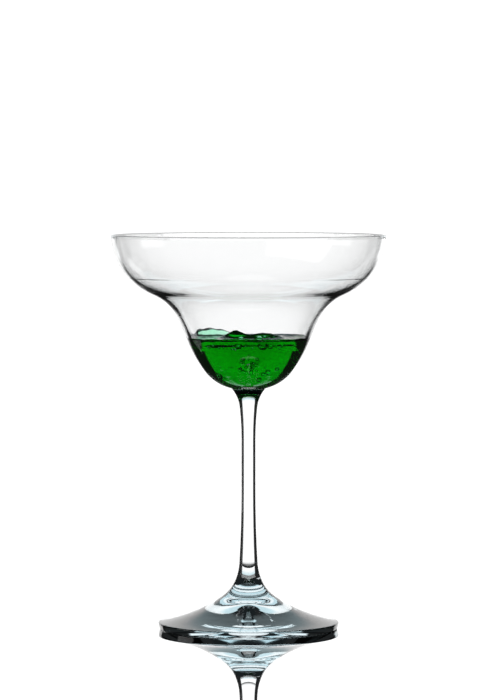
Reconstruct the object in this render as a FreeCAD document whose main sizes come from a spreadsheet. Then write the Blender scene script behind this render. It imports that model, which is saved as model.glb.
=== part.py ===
import FreeCAD, Part
import math
import os

import Sketcher

# A stemmed margarita glass with a little green cocktail in its lower cup.  Millimetres, +Z up,
# origin on the table at the middle of the foot.  Glass and drink are both turned about Z.

# Driving dimensions: alias, value, meaning.  Depths are measured down from the rim.
SIZES = (
    ("glass_height", 168.5, "table to rim"),
    ("rim_radius", 58.75, "outer radius at the rim"),
    ("bowl_turn_radius", 51.2, "outside of the wide bowl where it starts to turn in"),
    ("bowl_turn_depth", 18.5, "depth of that place"),
    ("shoulder_flare", 9.8, "how far the shoulder under the wide bowl stands out from the neck"),
    ("shoulder_depth", 25.8, "depth of that place"),
    ("neck_flare", 4.0, "how far the outside stands out from the cup where the shoulder meets it"),
    ("neck_depth", 34.7, "depth of that place"),
    ("cup_radius", 26.8, "outside of the lower cup"),
    ("cup_depth", 43.4, "depth of that place"),
    ("cup_lean", 3.711413428, "how far the outside of the cup leans in there over lean_depth"),
    ("cup_inside_lean", 4.006272469, "and how far the inside leans in"),
    ("lean_depth", 10.0, "depth over which both lean so far"),
    ("cup_round_inset", 7.8, "how far the cup has come in from its outside where it rounds under"),
    ("cup_round_depth", 57.9, "depth of that place"),
    ("crease_radius", 7.3, "ring where the cup sits on the head of the stem"),
    ("crease_depth", 65.6, "depth of that ring"),
    ("crease_fillet", 1.0, "rounding of that ring"),
    ("stem_radius", 3.0, "radius of the straight stem"),
    ("stem_head_radius", 3.8, "radius half way up the head of the stem"),
    ("stem_head_depth", 73.5, "depth of that place"),
    ("stem_top_depth", 87.7, "depth where the straight stem ends"),
    ("stem_foot_height", 60.0, "height where the stem starts to widen"),
    ("ankle_radius", 3.95, "radius above the flare of the foot"),
    ("ankle_height", 28.2, "height of that place"),
    ("flare_radius", 5.95, "radius in the flare"),
    ("flare_height", 20.2, "height of that place"),
    ("instep_radius", 11.2, "radius where the flare becomes the foot"),
    ("instep_height", 13.9, "height of that place"),
    ("foot_mid_radius", 23.9, "radius half way out on the foot"),
    ("foot_mid_height", 7.0, "height of that place"),
    ("foot_radius", 38.65, "radius of the lip of the foot"),
    ("foot_lip_height", 2.9, "height of the lip of the foot"),
    ("foot_undercut", 0.7, "how far the edge of the foot draws in below its lip"),
    ("foot_edge_fillet", 0.4, "rounding of both corners of that edge"),
    ("foot_ring_width", 3.5, "width of the ring that the glass stands on"),
    ("hollow_radius", 18.0, "where the flat cone under the foot turns up into the punt"),
    ("hollow_rise", 0.97, "rise of the underside there"),
    ("punt_radius", 9.0, "radius half way up the punt, the dimple under the stem"),
    ("punt_rise", 2.4, "rise of the underside there"),
    ("punt_top_radius", 3.0, "radius where the punt rounds over"),
    ("punt_top_rise", 4.33, "rise of the underside there"),
    ("rim_wall", 1.5, "wall at the rim"),
    ("rim_fillet", 0.6, "rounding of both corners of the rim"),
    ("bowl_turn_wall", 1.07, "how far the inside lies in from the outside at the bowl's turn"),
    ("bowl_turn_rise", 1.05, "and how far up"),
    ("shoulder_wall", 0.66, "how far the inside lies in from the outside at the shoulder"),
    ("shoulder_rise", 1.51, "and how far up"),
    ("neck_wall", 1.57, "how far the inside lies in from the outside at the neck"),
    ("neck_rise", 0.87, "and how far up"),
    ("cup_wall", 1.78, "how far the inside lies in from the outside at the cup"),
    ("cup_rise", 0.66, "and how far up"),
    ("cup_floor_inset", 4.02, "how much less the radius of the round floor is than the cup's inside"),
    ("cup_floor_rise", 1.7, "lowest point of the inside above the crease"),
    ("drink_fill", 19.4, "depth of the drink at the middle"),
    ("drink_clearance", 0.3, "gap that keeps the solid of the drink off the floor of the cup"),
)

SHEET_NAME = "sizes"
DOWN = -0.5 * math.pi
UP = 0.5 * math.pi
START, END, CENTRE = 1, 2, 3    # the sketcher's numbers for the points of an edge
ORIGIN = (-1, 1)                # the sketcher's name for a sketch's origin
LEVEL_AXIS = -1                 # its level axis
UPRIGHT_AXIS = -2               # and its upright axis


def make_sheet(doc):
    """The spreadsheet that holds every driving dimension."""
    sheet = doc.addObject("Spreadsheet::Sheet", SHEET_NAME)
    for row, (alias, value, meaning) in enumerate(SIZES, start=1):
        sheet.set("A%d" % row, alias)
        sheet.set("B%d" % row, str(value))
        sheet.set("C%d" % row, meaning)
        sheet.setAlias("B%d" % row, alias)
    doc.recompute()
    return sheet


def worked_out(sheet, formula):
    """The value of a formula of aliases joined by plus and minus."""
    total = 0.0
    sign = 1.0
    for word in formula.split():
        if word in "+-":
            sign = float(word + "1")
        else:
            total += sign * sheet.get(word)
    return total


def bound(formula):
    """The same formula written as an expression on the sheet's cells."""
    words = [word if word in "+-" else SHEET_NAME + "." + word for word in formula.split()]
    return " ".join(words)


def turned_back(edge):
    """The same edge, read from its other end."""
    return (edge[0], edge[2], edge[1])


class Profile:
    """Half of a section, drawn right of the upright axis from arcs and lines.

    A point is a pair of formulas, its radius and its height.  An edge is (index, first, last),
    where first and last name the points of the edge in the order in which it is drawn.
    """

    def __init__(self, body, sheet, name):
        plane = next(item for item in body.Origin.OriginFeatures if item.Role == "XZ_Plane")
        self.sheet = sheet
        self.sketch = body.newObject("Sketcher::SketchObject", name)
        self.sketch.AttachmentSupport = [(plane, "")]
        self.sketch.MapMode = "FlatFace"

    def spot(self, point):
        return FreeCAD.Vector(worked_out(self.sheet, point[0]), worked_out(self.sheet, point[1]), 0)

    def line(self, start, stop):
        edge = self.sketch.addGeometry(Part.LineSegment(start, stop), False)
        return (edge, START, END)

    def arc(self, start, heading, stop):
        """An arc that leaves start along the heading and ends at stop; also its last heading."""
        chord = stop - start
        swing = math.atan2(chord.y, chord.x) - heading
        swing = math.atan2(math.sin(swing), math.cos(swing))
        radius = chord.Length / (2 * math.sin(abs(swing)))
        turn = math.copysign(1.0, swing)
        towards = heading + turn * 0.5 * math.pi
        centre = start + FreeCAD.Vector(math.cos(towards), math.sin(towards), 0) * radius
        first = math.atan2(start.y - centre.y, start.x - centre.x)
        last = math.atan2(stop.y - centre.y, stop.x - centre.x)
        circle = Part.Circle(centre, FreeCAD.Vector(0, 0, 1), radius)
        if turn > 0:
            edge = (self.sketch.addGeometry(Part.ArcOfCircle(circle, first, last), False), START, END)
        else:
            edge = (self.sketch.addGeometry(Part.ArcOfCircle(circle, last, first), False), END, START)
        return edge, heading + 2 * swing

    def rule(self, *what):
        return self.sketch.addConstraint(Sketcher.Constraint(*what))

    def tangent(self, one, other):
        """The end of one edge runs on smoothly into the start of the other."""
        self.rule("Tangent", one[0], one[2], other[0], other[1])

    def meet(self, one, other):
        """The end of one edge is the start of the other, at a corner."""
        self.rule("Coincident", one[0], one[2], other[0], other[1])

    def measure(self, kind, edge, place, formula):
        """Ties one coordinate of a point to the sheet."""
        value = worked_out(self.sheet, formula)
        index = self.rule(kind, ORIGIN[0], ORIGIN[1], edge, place, value)
        name = "%s_%d" % (kind, index)
        self.sketch.renameConstraint(index, name)
        self.sketch.setExpression("Constraints." + name, bound(formula))

    def pin(self, edge, place, point):
        self.measure("DistanceX", edge, place, point[0])
        self.measure("DistanceY", edge, place, point[1])

    def smooth_run(self, points, heading, pin_last=True):
        """Arcs through the points in turn, each one tangent to the one before."""
        edges = []
        for start, stop in zip(points, points[1:]):
            edge, heading = self.arc(self.spot(start), heading, self.spot(stop))
            if edges:
                self.tangent(edges[-1], edge)
            edges.append(edge)
            if pin_last or stop is not points[-1]:
                self.pin(edge[0], edge[2], stop)
        return edges, heading

    def leaning_run(self, points, lean):
        """Arcs through the points that arrive at the last one in line with the point lean."""
        last, aim = self.spot(points[-1]), self.spot(lean)
        heading = math.atan2(aim.y - last.y, aim.x - last.x)
        back = heading + math.pi
        edges = []
        for start, stop in zip(points[-2::-1], points[:0:-1]):
            edge, back = self.arc(self.spot(stop), back, self.spot(start))
            edges.insert(0, turned_back(edge))
        for before, after, place in zip(edges, edges[1:], points[1:]):
            self.tangent(before, after)
            self.pin(before[0], before[2], place)
        self.pin(edges[-1][0], edges[-1][2], points[-1])
        guide = (self.sketch.addGeometry(Part.LineSegment(last, aim), True), START, END)
        self.tangent(edges[-1], guide)
        self.pin(guide[0], guide[2], lean)
        return edges, heading

    def close_on_axis(self, lowest, brim):
        """From the lowest point up the axis, and straight out to the start of the brim's edge."""
        floor = self.sketch.getPoint(lowest[0], lowest[2])
        lip = self.sketch.getPoint(brim[0], brim[1])
        axis = self.line(floor, FreeCAD.Vector(0, lip.y, 0))
        lid = self.line(FreeCAD.Vector(0, lip.y, 0), lip)
        self.meet(lowest, axis)
        self.meet(axis, lid)
        self.meet(lid, brim)
        self.rule("PointOnObject", axis[0], axis[2], UPRIGHT_AXIS)
        self.rule("Horizontal", lid[0])


RIM = ("rim_radius", "glass_height")
RIM_INSIDE = ("rim_radius - rim_wall", "glass_height")
CUP = ("cup_radius", "glass_height - cup_depth")
CUP_LEAN = ("cup_radius - cup_lean", "glass_height - cup_depth - lean_depth")
CUP_INSIDE = ("cup_radius - cup_wall", "glass_height - cup_depth + cup_rise")
CUP_INSIDE_LEAN = ("cup_radius - cup_wall - cup_inside_lean",
                   "glass_height - cup_depth + cup_rise - lean_depth")
CUP_FLOOR_RADIUS = "cup_radius - cup_wall - cup_floor_inset"
CREASE = ("crease_radius", "glass_height - crease_depth")
CUP_FLOOR = "glass_height - crease_depth + cup_floor_rise"
FOOT_LIP = ("foot_radius", "foot_lip_height")
FOOT_SOLE = ("foot_radius - foot_undercut", "")
RING_INSIDE = ("foot_radius - foot_undercut - foot_ring_width", "")


def outside_profile(body, sheet):
    """The outside, from the rim down the bowl, the stem and the foot to the table."""
    outside = Profile(body, sheet, "outside_profile")
    wall, under = outside.leaning_run((
        RIM,
        ("bowl_turn_radius", "glass_height - bowl_turn_depth"),
        ("cup_radius + neck_flare + shoulder_flare", "glass_height - shoulder_depth"),
        ("cup_radius + neck_flare", "glass_height - neck_depth"),
        CUP), CUP_LEAN)
    outside.pin(wall[0][0], wall[0][1], RIM)
    outside.rim_arc = wall[0][0]
    bowl, _ = outside.smooth_run((
        CUP,
        ("cup_radius - cup_round_inset", "glass_height - cup_round_depth"),
        CREASE), under)
    outside.tangent(wall[-1], bowl[0])

    stem_top = ("stem_radius", "glass_height - stem_top_depth")
    stem_foot = ("stem_radius", "stem_foot_height")
    head, _ = outside.smooth_run((
        stem_top,
        ("stem_head_radius", "glass_height - stem_head_depth"),
        CREASE), UP, pin_last=False)
    outside.meet(bowl[-1], turned_back(head[-1]))
    stem = outside.line(outside.spot(stem_top), outside.spot(stem_foot))
    outside.pin(stem[0], stem[1], stem_top)
    outside.pin(stem[0], stem[2], stem_foot)
    outside.tangent(turned_back(stem), head[0])

    foot, _ = outside.smooth_run((
        stem_foot,
        ("ankle_radius", "ankle_height"),
        ("flare_radius", "flare_height"),
        ("instep_radius", "instep_height"),
        ("foot_mid_radius", "foot_mid_height"),
        FOOT_LIP), DOWN)
    outside.tangent(stem, foot[0])

    edge = outside.line(outside.spot(FOOT_LIP), outside.spot(FOOT_SOLE))
    outside.meet(foot[-1], edge)
    outside.measure("DistanceX", edge[0], edge[2], FOOT_SOLE[0])
    outside.rule("PointOnObject", edge[0], edge[2], LEVEL_AXIS)
    ring = outside.line(outside.spot(FOOT_SOLE), outside.spot(RING_INSIDE))
    outside.meet(edge, ring)
    outside.measure("DistanceX", ring[0], ring[2], RING_INSIDE[0])
    outside.rule("PointOnObject", ring[0], ring[2], LEVEL_AXIS)

    punt_start = ("hollow_radius", "hollow_rise")
    cone = outside.line(outside.spot(RING_INSIDE), outside.spot(punt_start))
    outside.meet(ring, cone)
    outside.pin(cone[0], cone[2], punt_start)
    slope = outside.spot(punt_start) - outside.spot(RING_INSIDE)
    punt, heading = outside.smooth_run((
        punt_start,
        ("punt_radius", "punt_rise"),
        ("punt_top_radius", "punt_top_rise")), math.atan2(slope.y, slope.x))
    outside.tangent(cone, punt[0])
    start = outside.spot(("punt_top_radius", "punt_top_rise"))
    tip = FreeCAD.Vector(0, start.y + start.x * math.tan(0.5 * (math.pi - heading)), 0)
    dome, _ = outside.arc(start, heading, tip)
    outside.tangent(punt[-1], dome)
    outside.rule("PointOnObject", dome[0], CENTRE, UPRIGHT_AXIS)
    outside.rule("PointOnObject", dome[0], dome[2], UPRIGHT_AXIS)
    outside.close_on_axis(dome, wall[0])
    return outside


def inside_profile(body, sheet):
    """The inside of the bowl and the lower cup, from the rim down to the round floor."""
    inside = Profile(body, sheet, "inside_profile")
    wall, heading = inside.leaning_run((
        RIM_INSIDE,
        ("bowl_turn_radius - bowl_turn_wall", "glass_height - bowl_turn_depth + bowl_turn_rise"),
        ("cup_radius + neck_flare + shoulder_flare - shoulder_wall",
         "glass_height - shoulder_depth + shoulder_rise"),
        ("cup_radius + neck_flare - neck_wall", "glass_height - neck_depth + neck_rise"),
        CUP_INSIDE), CUP_INSIDE_LEAN)
    inside.pin(wall[0][0], wall[0][1], RIM_INSIDE)

    # The last arc of the wall runs smoothly into the floor, whose centre is on the axis.
    floor_radius = worked_out(sheet, CUP_FLOOR_RADIUS)
    floor_height = worked_out(sheet, CUP_FLOOR)
    floor_centre = FreeCAD.Vector(0, floor_height + floor_radius, 0)
    start = inside.sketch.getPoint(wall[-1][0], wall[-1][2])
    offset = start - floor_centre
    inward = FreeCAD.Vector(math.sin(heading), -math.cos(heading), 0)
    reach = inward.dot(offset) + floor_radius
    radius = (floor_radius ** 2 - offset.Length ** 2) / (2 * reach)
    centre = start + inward * radius
    away = floor_centre - centre
    away = away * math.copysign(1.0, floor_radius - radius)
    touch = centre - away.normalize() * abs(radius)
    side, heading = inside.arc(start, heading, touch)
    floor, _ = inside.arc(touch, heading, FreeCAD.Vector(0, floor_height, 0))
    inside.tangent(wall[-1], side)
    inside.tangent(side, floor)
    inside.rule("PointOnObject", floor[0], CENTRE, UPRIGHT_AXIS)
    inside.rule("PointOnObject", floor[0], floor[2], UPRIGHT_AXIS)
    inside.measure("DistanceY", floor[0], floor[2], CUP_FLOOR)
    index = inside.rule("Radius", floor[0], floor_radius)
    inside.sketch.renameConstraint(index, "floor_radius")
    inside.sketch.setExpression("Constraints.floor_radius", bound(CUP_FLOOR_RADIUS))
    inside.close_on_axis(floor, wall[0])
    return inside


def turn_about_z(body, profile, kind, name):
    feature = body.newObject(kind, name)
    feature.Profile = profile.sketch
    feature.ReferenceAxis = (profile.sketch, ["V_Axis"])
    feature.Angle = 360.0
    body.Document.recompute()
    return feature


def ring_edges(feature, sheet, points):
    """Names of the circular edges that lie at the given points of the profile."""
    names = []
    for point in points:
        radius = worked_out(sheet, point[0])
        height = worked_out(sheet, point[1])
        for number, edge in enumerate(feature.Shape.Edges, start=1):
            if not edge.Degenerated and isinstance(edge.Curve, Part.Circle):
                off = abs(edge.Curve.Radius - radius) + abs(edge.Curve.Center.z - height)
                if off < 0.01:
                    names.append("Edge%d" % number)
    return names


def room_for_rim(profile, sheet):
    """The largest rounding that leaves a flat between both corners of a rim that may lean."""
    arc = profile.sketch.Geometry[profile.rim_arc]
    upright = abs(arc.Center.x - worked_out(sheet, RIM[0])) / arc.Radius
    return 0.45 * worked_out(sheet, "rim_wall") * upright


def round_off(body, sheet, base, name, points, radius_alias, room=math.inf):
    fillet = body.newObject("PartDesign::Fillet", name)
    fillet.Base = (base, ring_edges(base, sheet, points))
    if worked_out(sheet, radius_alias) <= room:
        fillet.setExpression("Radius", bound(radius_alias))
    else:
        fillet.Radius = room
    body.Document.recompute()
    return fillet


def make_glass(doc, sheet):
    """One piece of clear glass: wide bowl, lower cup, stem and foot."""
    body = doc.addObject("PartDesign::Body", "glass")
    body.Label = "glass"
    outside = outside_profile(body, sheet)
    solid = turn_about_z(body, outside, "PartDesign::Revolution", "blank")
    hollow = turn_about_z(body, inside_profile(body, sheet), "PartDesign::Groove", "bowl_space")
    if hollow.Shape.Volume > 0.9 * solid.Shape.Volume:
        raise RuntimeError("the bowl was not hollowed out")
    rim = round_off(body, sheet, hollow, "round_rim", (RIM, RIM_INSIDE), "rim_fillet",
                    room_for_rim(outside, sheet))
    foot = round_off(body, sheet, rim, "round_foot_edge", (FOOT_LIP, FOOT_SOLE), "foot_edge_fillet")
    round_off(body, sheet, foot, "round_crease", (CREASE,), "crease_fillet")
    return body


def space_above(body, sheet, level):
    """Everything in the bowl above the surface of the drink."""
    above = Profile(body, sheet, "above_drink")
    brim = ("rim_radius + bowl_turn_radius", "glass_height")
    brink = (brim[0], level)
    side = above.line(above.spot(brim), above.spot(brink))
    above.pin(side[0], side[1], brim)
    above.pin(side[0], side[2], brink)
    surface = above.line(above.spot(brink), above.spot(("", level)))
    above.meet(side, surface)
    above.rule("Horizontal", surface[0])
    above.rule("PointOnObject", surface[0], surface[2], UPRIGHT_AXIS)
    above.close_on_axis(surface, side)
    return above


def make_drink(doc, sheet):
    """The drink: what the inside of the bowl holds up to its level, lifted clear of the glass."""
    body = doc.addObject("PartDesign::Body", "drink")
    body.Label = "drink"
    full = turn_about_z(body, inside_profile(body, sheet), "PartDesign::Revolution", "full_bowl")
    level = CUP_FLOOR + " + drink_fill - drink_clearance"
    left = turn_about_z(body, space_above(body, sheet, level), "PartDesign::Groove", "empty_space")
    if left.Shape.Volume > 0.5 * full.Shape.Volume:
        raise RuntimeError("the space above the drink was not cut away")
    body.setExpression("Placement.Base.z", bound("drink_clearance"))
    return body


def check(doc, parts):
    """Stops on any object that failed to compute and on any unsound sub-part."""
    doc.recompute()
    for item in doc.Objects:
        if "Invalid" in item.State or "Error" in item.State:
            raise RuntimeError("%s did not compute: %s" % (item.Name, item.State))
    for part in parts:
        if part.Shape.isNull() or not part.Shape.isValid() or len(part.Shape.Solids) != 1:
            raise RuntimeError("%s is not one sound solid" % part.Label)


def main():
    doc = FreeCAD.newDocument("margarita")
    sheet = make_sheet(doc)
    parts = [make_glass(doc, sheet), make_drink(doc, sheet)]
    check(doc, parts)
    os.makedirs("parts", exist_ok=True)
    for part in parts:
        box = part.Shape.optimalBoundingBox()
        print("%s: %.1f cm3, z %.2f to %.2f mm, radius %.2f mm"
              % (part.Label, part.Shape.Volume / 1000, box.ZMin, box.ZMax, box.XMax))
        part.Shape.exportStep("parts/%s.step" % part.Label)


main()
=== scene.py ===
import bpy
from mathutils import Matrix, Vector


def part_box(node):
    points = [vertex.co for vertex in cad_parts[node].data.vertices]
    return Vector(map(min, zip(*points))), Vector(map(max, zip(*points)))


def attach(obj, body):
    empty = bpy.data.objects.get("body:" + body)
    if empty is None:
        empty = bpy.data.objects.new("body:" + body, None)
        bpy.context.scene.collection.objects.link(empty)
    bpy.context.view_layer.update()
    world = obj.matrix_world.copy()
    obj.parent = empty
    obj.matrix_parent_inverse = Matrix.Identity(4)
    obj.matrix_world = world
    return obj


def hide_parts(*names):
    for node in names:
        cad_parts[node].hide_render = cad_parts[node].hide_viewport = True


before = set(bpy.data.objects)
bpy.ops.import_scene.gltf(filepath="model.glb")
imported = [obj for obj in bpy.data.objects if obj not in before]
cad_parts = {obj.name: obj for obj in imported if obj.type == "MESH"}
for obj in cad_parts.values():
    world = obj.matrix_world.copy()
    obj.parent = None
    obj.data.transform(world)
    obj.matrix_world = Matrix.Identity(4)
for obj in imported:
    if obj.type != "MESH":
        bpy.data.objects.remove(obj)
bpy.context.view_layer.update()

MM = 0.001


def linear(hex_colour):
    """An sRGB hex colour as linear red, green, blue and an alpha of one."""
    channels = [int(hex_colour[i:i + 2], 16) / 255 for i in (1, 3, 5)]
    lit = [c / 12.92 if c <= 0.04045 else ((c + 0.055) / 1.055) ** 2.4 for c in channels]
    return (*lit, 1.0)


def add_node(tree, kind, settings=None, links=None):
    """Adds a node; settings are its attributes or input values, links go to its inputs."""
    node = tree.nodes.new(kind)
    for name, value in (settings or {}).items():
        if isinstance(name, str) and hasattr(node, name):
            setattr(node, name, value)
        else:
            node.inputs[name].default_value = value
    for name, output in (links or {}).items():
        tree.links.new(output, node.inputs[name])
    return node


def empty_tree(owner):
    """The emptied node tree of a material or of the world."""
    owner.use_nodes = True
    owner.node_tree.nodes.clear()
    return owner.node_tree


# Fire-polished soda-lime glass: mirror smooth, with the faint long waves that a tool leaves in
# soft glass, and a weak blue-grey green that only shows where it is seen edge on.  The rim was
# melted round last and is the thinnest part.  Its pale line is painted light: a band at the top
# is mixed with a plain see-through surface, so the dark lines there come out pale.
COLOURLESS = linear("#FFFFFF")
GLASS_IOR = 1.52
GLASS_WAVE_LENGTH = 9.0 * MM
GLASS_WAVE_HEIGHT = 0.02 * MM
GLASS_RED_LOSS, GLASS_GREEN_LOSS, GLASS_BLUE_LOSS = 3.4, 1.4, 0.7    # absorption per metre
PAINTED_RIM_DEPTH = 1.6 * MM             # how far down the painted pale band at the rim reaches
PAINTED_RIM_PALENESS = 0.62             # share of the rim band that is painted pale: light goes straight through it

soda_glass = bpy.data.materials.new("fire_polished_soda_glass")
tree = empty_tree(soda_glass)
place = add_node(tree, "ShaderNodeTexCoord")
waves = add_node(tree, "ShaderNodeTexNoise",
                 {"Scale": 1 / GLASS_WAVE_LENGTH, "Detail": 1.0, "Roughness": 0.4},
                 {"Vector": place.outputs["Object"]})
relief = add_node(tree, "ShaderNodeBump", {"Strength": 1.0, "Distance": GLASS_WAVE_HEIGHT},
                  {"Height": waves.outputs["Fac"]})
surface = add_node(tree, "ShaderNodeBsdfPrincipled",
                   {"Base Color": COLOURLESS, "Roughness": 0.0, "IOR": GLASS_IOR,
                    "Transmission Weight": 1.0},
                   {"Normal": relief.outputs["Normal"]})
inside = add_node(tree, "ShaderNodeVolumeAbsorption",
                  {"Color": (0.0, 1 - GLASS_GREEN_LOSS / GLASS_RED_LOSS,
                             1 - GLASS_BLUE_LOSS / GLASS_RED_LOSS, 1.0),
                   "Density": GLASS_RED_LOSS})
where = add_node(tree, "ShaderNodeSeparateXYZ", links={"Vector": place.outputs["Object"]})
rim_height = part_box("glass")[1].z
# Painted light: near the top of the rim the glass is mixed with a plain see-through surface, so
# the rim draws a pale line. clear and polished below carry this painted pale rim.
painted_rim_mask = add_node(tree, "ShaderNodeMapRange",
                  {"From Min": rim_height - PAINTED_RIM_DEPTH, "From Max": rim_height - 0.5 * PAINTED_RIM_DEPTH,
                   "To Max": PAINTED_RIM_PALENESS}, {"Value": where.outputs["Z"]})
clear = add_node(tree, "ShaderNodeBsdfTransparent", {"Color": COLOURLESS})
polished = add_node(tree, "ShaderNodeMixShader",
                    links={0: painted_rim_mask.outputs["Result"], 1: surface.outputs["BSDF"],
                           2: clear.outputs["BSDF"]})
add_node(tree, "ShaderNodeOutputMaterial", links={"Surface": polished.outputs["Shader"],
                                                  "Volume": inside.outputs["Volume"]})
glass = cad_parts["glass"]
glass.data.materials.clear()
glass.data.materials.append(soda_glass)

# ---------------------------------------------------------------------------------------------
# The drink.  A clear bright green margarita mix lying in the lower cup, still moving from the
# pour: the surface climbs the glass at its edge, heaves in low waves and a splash, and carries
# a few bubbles.  It is one closed mesh that reaches just into the wall of the glass.
# ---------------------------------------------------------------------------------------------
import bmesh
import math
import random

import numpy as np
from mathutils import Vector, noise

BITE = 0.12 * MM                 # how far the drink reaches into the wall
LIFT = 0.3 * MM                  # how far the CAD drink stands off the floor of the cup
CLIMB = 1.1 * MM                 # how high the edge of the surface climbs the glass
CLIMB_REACH = 1.3 * MM           # and how soon that dies away
SEGMENTS = 288                   # steps round the axis
SURFACE_RINGS = 110              # rings of the surface
WALL_RINGS = 46                  # rings down the wall
WALL_BUNCHING = 1.4              # how much closer they lie near the floor of the cup
LOWERED = 0.3                    # share of BITE by which they are lowered

# Humps of the moving surface: across, away from the viewer, radius, height, all in mm.
HUMP_FALL = 1.6                  # how steeply they fall away
HUMP_END = 6                     # squared distance, in radii, at which they have gone
HUMPS = (
    (-9.5, 3.0, 3.6, 1.4), (-6.6, 1.6, 3.2, 2.2), (-4.2, 1.2, 3.0, 2.4), (-1.0, 1.0, 2.8, 1.5),
    (2.2, 0.6, 3.0, 1.7), (5.6, 0.8, 3.2, 2.3), (9.2, 0.6, 3.2, 1.9), (12.8, 1.4, 3.0, 1.3),
)
# Where the drink has sloshed up the wall: direction in degrees, half its width, height in mm.
SLOSHES = ((148, 11, 2.3), (131, 10, 2.7), (117, 7, 1.9), (176, 8, 0.9))
SLOSH_REACH = 0.9 * MM           # how far it stands in from the wall
SLOSH_FALL = 1.5
# Ripples all over the surface: length, height, and the layer of the noise they are cut from.
RIPPLES = ((7.0 * MM, 0.35 * MM, 0.3), (2.6 * MM, 0.10 * MM, 4.1))
# Bubbles that float half out of the surface: across, away, radius in mm.
FLOATING = (
    (-3.3, -1.5, 1.35), (4.6, -2.0, 1.75), (6.9, 0.8, 1.2), (8.9, -1.5, 0.85), (10.6, 0.4, 0.7),
    (12.0, -2.2, 0.55), (-0.9, -3.4, 0.6), (-6.9, -4.4, 0.5),
)
FILM = 0.12 * MM                 # wall of a floating bubble
SINK = 0.15                      # share of its radius by which its middle lies under the surface

corners_low, corners_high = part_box("drink")
level = corners_high.z
floor_height = corners_low.z - LIFT
WALL_ABOVE = 8.0 * MM            # how much of the wall above the surface is read as well
SLACK = 0.001 * MM

# The section of the cup, read from the inner face of the glass: its squared radius is a smooth
# curve of height.
CURVE_DEGREE = 7
heights, squares = [], []
for point in glass.data.vertices:
    rise = point.co.z - floor_height
    faces_in = point.normal.x * point.co.x + point.normal.y * point.co.y <= 0
    if -SLACK < rise < level - floor_height + WALL_ABOVE and faces_in:
        heights.append(rise / level)
        squares.append((point.co.x ** 2 + point.co.y ** 2) / level ** 2)
cup_curve = np.polyfit(heights, squares, CURVE_DEGREE)


def cup_radius(z):
    """Inside radius of the cup at a height."""
    return math.sqrt(max(np.polyval(cup_curve, (z - floor_height) / level), 0.0)) * level


rim_of_surface = cup_radius(level)


def surface_height(x, y):
    """Height of the drink's surface over a place."""
    out = math.hypot(x, y)
    from_wall = max(rim_of_surface - out, 0.0)
    height = level + CLIMB * math.exp(-from_wall / CLIMB_REACH)
    direction = math.degrees(math.atan2(y, x))
    for middle, half_width, rise in SLOSHES:
        turn = (direction - middle + 180) % 360 - 180
        swell = math.exp(-(turn / half_width) ** 2)
        height += rise * MM * swell * math.exp(-(from_wall / SLOSH_REACH) ** SLOSH_FALL)
    for length, ripple, layer in RIPPLES:
        height += noise.noise(Vector((x, y, layer)) / length) * ripple
    for across, away, radius, lump in HUMPS:
        near = ((x / MM - across) ** 2 + (y / MM - away) ** 2) / radius ** 2
        if near < HUMP_END:
            height += lump * MM * math.exp(-HUMP_FALL * near)
    for across, away, radius in FLOATING:
        near = (x / MM - across) ** 2 + (y / MM - away) ** 2
        if near < radius ** 2:
            top = level + (math.sqrt(radius ** 2 - near) - SINK * radius) * MM
            height = max(height, top)
    return height


def round_ring(mesh, radius, height_of):
    """A ring of points about the axis, whose radius and height come from the two functions."""
    ring = []
    for k in range(SEGMENTS):
        angle = 2 * math.pi * k / SEGMENTS
        x, y = radius(k) * math.cos(angle), radius(k) * math.sin(angle)
        ring.append(mesh.verts.new((x, y, height_of(x, y, k))))
    return ring


def join_rings(mesh, first, second):
    """A band of faces between two rings."""
    for k in range(SEGMENTS):
        j = (k + 1) % SEGMENTS
        mesh.faces.new((first[k], first[j], second[j], second[k]))


def join_to_point(mesh, ring, point):
    """A fan of faces from a ring to a point on the axis."""
    for k in range(SEGMENTS):
        mesh.faces.new((ring[k], ring[(k + 1) % SEGMENTS], point))


body = bmesh.new()
brink = []                       # height of the surface's edge at each segment
for k in range(SEGMENTS):
    angle = 2 * math.pi * k / SEGMENTS
    x, y = rim_of_surface * math.cos(angle), rim_of_surface * math.sin(angle)
    brink.append(surface_height(x, y))

centre_top = body.verts.new((0, 0, surface_height(0, 0)))
ring = None
for step in range(1, SURFACE_RINGS):
    radius = rim_of_surface * step / SURFACE_RINGS
    new = round_ring(body, lambda k: radius, lambda x, y, k: surface_height(x, y))
    if ring:
        join_rings(body, ring, new)
    else:
        join_to_point(body, new, centre_top)
    ring = new
for step in range(WALL_RINGS, 0, -1):
    share = (step / WALL_RINGS) ** WALL_BUNCHING
    rise = [floor_height + (top - floor_height) * share for top in brink]
    new = round_ring(body, lambda k: cup_radius(rise[k]) + BITE,
                     lambda x, y, k: rise[k] - LOWERED * BITE)
    join_rings(body, ring, new)
    ring = new
join_to_point(body, ring, body.verts.new((0, 0, floor_height - BITE)))
bmesh.ops.recalc_face_normals(body, faces=body.faces)

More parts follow.
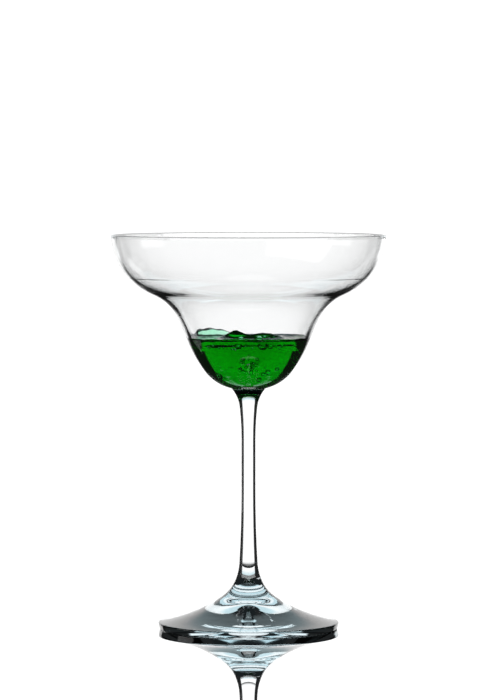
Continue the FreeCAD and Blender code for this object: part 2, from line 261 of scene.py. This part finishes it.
# Bubbles under the surface are closed hollows: across, away, height in mm, radius, flattening.
BUBBLE_DETAIL = 3
CLOUD_MIDDLE = (0.2, -5.0, 115.0)
CLOUD_RADIUS, CLOUD_DEPTH = 3.9, 2.6
CLOUD_OVAL = 0.8                 # how much shallower it is than it is wide
CLOUD_LIFT = 0.1                 # how its outside curls up, per mm
hollows = [
    (-10.6, -6.0, 110.4, 1.25, 1.0), (3.9, -7.0, 109.6, 0.95, 1.0), (7.0, -8.0, 112.3, 1.05, 1.0),
    (5.3, -8.5, 111.6, 0.75, 1.0), (10.6, -8.0, 113.4, 0.9, 1.0), (6.0, -8.0, 114.3, 0.5, 1.0),
    (-7.2, -8.0, 113.8, 0.35, 1.0), (-6.2, -8.5, 114.2, 0.42, 1.0), (-5.2, -8.0, 114.6, 0.3, 1.0),
    (-8.4, -8.0, 112.7, 0.32, 1.0), (-11.4, -6.5, 111.6, 0.35, 1.0), (-9.0, -7.0, 109.9, 0.4, 1.0),
    (7.4, -6.0, 118.4, 0.3, 1.0), (5.4, -9.0, 118.0, 0.35, 1.0), (0.2, -9.0, 119.6, 0.5, 1.0),
    (1.0, -9.0, 111.2, 0.3, 1.0), (11.6, -9.0, 115.5, 0.3, 1.0), (-3.0, -10.0, 117.2, 0.25, 1.0),
]
chance = random.Random(7)
for _ in range(30):              # the cloud that the pour drives down under the middle
    turn = chance.uniform(0, 2 * math.pi)
    reach = CLOUD_RADIUS * math.sqrt(chance.random())
    fall = chance.uniform(-CLOUD_DEPTH, CLOUD_DEPTH)
    hollows.append((CLOUD_MIDDLE[0] + reach * math.cos(turn),
                    CLOUD_OVAL * reach * math.sin(turn) + CLOUD_MIDDLE[1],
                    CLOUD_MIDDLE[2] + fall + CLOUD_LIFT * reach ** 2,
                    chance.uniform(0.4, 0.85), 1.0))
for _ in range(16):              # small ones that gather just under the edge, near the viewer
    turn = math.radians(chance.uniform(-140, -40))
    reach = rim_of_surface / MM - chance.uniform(1.6, 3.2)
    hollows.append((reach * math.cos(turn), reach * math.sin(turn),
                    level / MM - chance.uniform(1.6, 3.4), chance.uniform(0.3, 0.6), 0.6))
for across, away, radius in FLOATING:
    hollows.append((across, away, level / MM - SINK * radius, radius - FILM / MM, 1.0))

for across, away, height, radius, flat in hollows:
    made = bmesh.ops.create_icosphere(body, subdivisions=BUBBLE_DETAIL, radius=radius * MM)
    bmesh.ops.scale(body, vec=(1.0, 1.0, flat), verts=made["verts"])
    bmesh.ops.translate(body, vec=(across * MM, away * MM, height * MM), verts=made["verts"])
    faces = {face for vert in made["verts"] for face in vert.link_faces}
    bmesh.ops.reverse_faces(body, faces=list(faces))

mesh = bpy.data.meshes.new("green_margarita")
body.to_mesh(mesh)
body.free()
mesh.polygons.foreach_set("use_smooth", [True] * len(mesh.polygons))
drink = bpy.data.objects.new("green_margarita", mesh)
bpy.context.scene.collection.objects.link(drink)

# Syrup and spirit in water, clear, with green food colour: red and blue are gone within a few
# millimetres, green only dims over the width of the cup.
DRINK_IOR = 1.35
RED_LOSS, GREEN_LOSS, BLUE_LOSS = 400.0, 34.0, 200.0     # absorption per metre
FULL_LOSS = max(RED_LOSS, GREEN_LOSS, BLUE_LOSS)
SWIRL_LENGTH = 5.0 * MM          # the pour still turns in it, and bends the light a little
SWIRL_HEIGHT = 0.02 * MM

green_mix = bpy.data.materials.new("clear_green_margarita_mix")
tree = empty_tree(green_mix)
place = add_node(tree, "ShaderNodeTexCoord")
swirl = add_node(tree, "ShaderNodeTexNoise", {"Scale": 1 / SWIRL_LENGTH, "Detail": 2.0},
                 {"Vector": place.outputs["Object"]})
relief = add_node(tree, "ShaderNodeBump", {"Strength": 1.0, "Distance": SWIRL_HEIGHT},
                  {"Height": swirl.outputs["Fac"]})
surface = add_node(tree, "ShaderNodeBsdfPrincipled",
                   {"Base Color": COLOURLESS, "Roughness": 0.0, "IOR": DRINK_IOR,
                    "Transmission Weight": 1.0},
                   {"Normal": relief.outputs["Normal"]})
inside = add_node(tree, "ShaderNodeVolumeAbsorption",
                  {"Color": (1 - RED_LOSS / FULL_LOSS, 1 - GREEN_LOSS / FULL_LOSS,
                             1 - BLUE_LOSS / FULL_LOSS, 1.0),
                   "Density": FULL_LOSS})
add_node(tree, "ShaderNodeOutputMaterial", links={"Surface": surface.outputs["BSDF"],
                                                  "Volume": inside.outputs["Volume"]})
drink.data.materials.append(green_mix)
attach(drink, "root")
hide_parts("drink")

# ---------------------------------------------------------------------------------------------
# The floor.  A sheet of glossy white acrylic: pale from above, a mirror when seen at a low angle.
# It lies just under the foot, and reaches further towards the viewer than behind the glass.
# ---------------------------------------------------------------------------------------------
FLOOR_RADIUS = 0.19
FLOOR_MIDDLE = (0.0, -0.1, -0.05 * MM)
FLOOR_SEGMENTS = 96
sheet = bmesh.new()
bmesh.ops.create_circle(sheet, cap_ends=True, segments=FLOOR_SEGMENTS, radius=FLOOR_RADIUS)
mesh = bpy.data.meshes.new("acrylic_floor")
sheet.to_mesh(mesh)
sheet.free()
floor = bpy.data.objects.new("acrylic_floor", mesh)
floor.location = FLOOR_MIDDLE
bpy.context.scene.collection.objects.link(floor)

# Glossy white acrylic: its white is seen from above and its gloss takes over towards the edge-on
# view.  Facing runs from nothing, seen square on, to one, seen edge on.
GLOSS_STARTS, GLOSS_FULL = 0.76, 0.86
LEAST_GLOSS = 0.06
# What is seen through the glass from right above is pale as well, but not under the foot, whose
# dark and bright bands come from the mirror.
SQUARE_ON, SLANTED = 0.022, 0.03
UNDER_FOOT, CLEAR_OF_FOOT = 0.041, 0.047

acrylic = bpy.data.materials.new("glossy_white_acrylic")
tree = empty_tree(acrylic)
mirror = add_node(tree, "ShaderNodeBsdfGlossy", {"Color": COLOURLESS, "Roughness": 0.0})
pale = add_node(tree, "ShaderNodeEmission", {"Color": COLOURLESS, "Strength": 1.0})
facing = add_node(tree, "ShaderNodeLayerWeight", {"Blend": 0.5})
gloss = add_node(tree, "ShaderNodeMapRange",
                 {"From Min": GLOSS_STARTS, "From Max": GLOSS_FULL, "To Min": LEAST_GLOSS},
                 {"Value": facing.outputs["Facing"]})
slant = add_node(tree, "ShaderNodeMapRange", {"From Min": SQUARE_ON, "From Max": SLANTED},
                 {"Value": facing.outputs["Facing"]})
spot = add_node(tree, "ShaderNodeNewGeometry")
reach = add_node(tree, "ShaderNodeVectorMath", {"operation": "LENGTH"},
                 {0: spot.outputs["Position"]})
beyond_foot = add_node(tree, "ShaderNodeMapRange",
                       {"From Min": UNDER_FOOT, "From Max": CLEAR_OF_FOOT},
                       {"Value": reach.outputs["Value"]})
path = add_node(tree, "ShaderNodeLightPath")
through_glass = add_node(tree, "ShaderNodeMath", {"operation": "MULTIPLY"},
                         {0: path.outputs["Is Transmission Ray"],
                          1: beyond_foot.outputs["Result"]})
indirect = add_node(tree, "ShaderNodeMix", {2: 1.0},
                    {0: through_glass.outputs["Value"], 3: slant.outputs["Result"]})
share = add_node(tree, "ShaderNodeMix",
                 links={0: path.outputs["Is Camera Ray"], 2: indirect.outputs["Result"],
                        3: gloss.outputs["Result"]})
both = add_node(tree, "ShaderNodeMixShader",
                links={0: share.outputs["Result"], 1: pale.outputs["Emission"],
                       2: mirror.outputs["BSDF"]})
add_node(tree, "ShaderNodeOutputMaterial", links={"Surface": both.outputs["Shader"]})
floor.data.materials.append(acrylic)

# ---------------------------------------------------------------------------------------------
# The light.  A white studio whose bright wall stands behind the glass, with dark flanks that
# draw the edges of the glass, and three soft windows that light it for the other sides.
# ---------------------------------------------------------------------------------------------
# Each light: azimuth from +Y towards +X, half its width, lowest and highest angle, strength, and
# whether only what is seen through glass or drink shows it.
LIGHTS = (
    (0, 29, -9, 50, 1.16, False),
    (-45, 9, -28, -22, 0.9, True),
    (-90, 12, -12, 14, 0.9, False),
    (135, 28, -38, -8, 0.9, False),
)
SOFT_SIDE = math.radians(3)      # how softly a light ends sideways
SOFT_END = math.radians(6)       # and above and below
DARK_ROOM = 0.02                 # strength of the room around the lights
# The upper part of the wall is cooler, and gives the foot its blue grey.
COOL_WHITE = linear("#CBE1E7")
COOL_STARTS, COOL_FULL = math.radians(18), math.radians(30)

world = bpy.data.worlds.new("white_studio")
bpy.context.scene.world = world
tree = empty_tree(world)


def number(operation, *values):
    """The output of a math node over numbers and outputs."""
    node = add_node(tree, "ShaderNodeMath", {"operation": operation})
    for index, value in enumerate(values):
        if isinstance(value, (int, float)):
            node.inputs[index].default_value = value
        else:
            tree.links.new(value, node.inputs[index])
    return node.outputs["Value"]


def inside_of(value, half_width, soft):
    """One within half_width of zero, falling softly to nothing outside it."""
    node = add_node(tree, "ShaderNodeMapRange",
                    {"interpolation_type": "SMOOTHSTEP", "From Min": half_width,
                     "From Max": half_width + soft, "To Min": 1.0, "To Max": 0.0},
                    {"Value": number("ABSOLUTE", value)})
    return node.outputs["Result"]


place = add_node(tree, "ShaderNodeTexCoord")
parts = add_node(tree, "ShaderNodeSeparateXYZ", links={"Vector": place.outputs["Generated"]})
across, away = parts.outputs["X"], parts.outputs["Y"]
level_length = number("SQRT", number("ADD", number("MULTIPLY", across, across),
                                     number("MULTIPLY", away, away)))
azimuth = number("ARCTAN2", across, away)
elevation = number("ARCTAN2", parts.outputs["Z"], level_length)
path = add_node(tree, "ShaderNodeLightPath")
strength = DARK_ROOM
for middle, half_width, lowest, highest, power, through_glass_only in LIGHTS:
    turned = number("SUBTRACT", azimuth, math.radians(middle))
    sideways = inside_of(number("WRAP", turned, math.pi, -math.pi), math.radians(half_width),
                         SOFT_SIDE)
    raised = number("SUBTRACT", elevation, math.radians((lowest + highest) / 2))
    upright = inside_of(raised, math.radians((highest - lowest) / 2), SOFT_END)
    glow = number("MULTIPLY", number("MULTIPLY", sideways, upright), power)
    if through_glass_only:
        glow = number("MULTIPLY", glow, path.outputs["Is Transmission Ray"])
    strength = number("MAXIMUM", strength, glow)
strength = number("MAXIMUM", strength, path.outputs["Is Camera Ray"])
cool = add_node(tree, "ShaderNodeMapRange",
                {"interpolation_type": "SMOOTHSTEP", "From Min": COOL_STARTS,
                 "From Max": COOL_FULL}, {"Value": elevation})
shade = add_node(tree, "ShaderNodeMixRGB", {"Color1": COLOURLESS, "Color2": COOL_WHITE},
                 {"Fac": cool.outputs["Result"]})
sky = add_node(tree, "ShaderNodeBackground",
               links={"Color": shade.outputs["Color"], "Strength": strength})
add_node(tree, "ShaderNodeOutputWorld", links={"Surface": sky.outputs["Background"]})

# ---------------------------------------------------------------------------------------------
# The camera.  A long lens a little above the drink, looking slightly down.
# ---------------------------------------------------------------------------------------------
LOOKING_DOWN = math.radians(2.79)
lens = bpy.data.cameras.new("camera")
lens.lens = 206.4
lens.sensor_width = 36.0
lens.clip_start = 0.01
camera = bpy.data.objects.new("camera", lens)
camera.location = (0.00064, -1.71, 0.2026)
camera.rotation_euler = (math.pi / 2 - LOOKING_DOWN, 0.0, 0.0)
bpy.context.scene.collection.objects.link(camera)
bpy.context.scene.camera = camera
bpy.context.scene.view_settings.view_transform = "Standard"

bpy.context.view_layer.update()
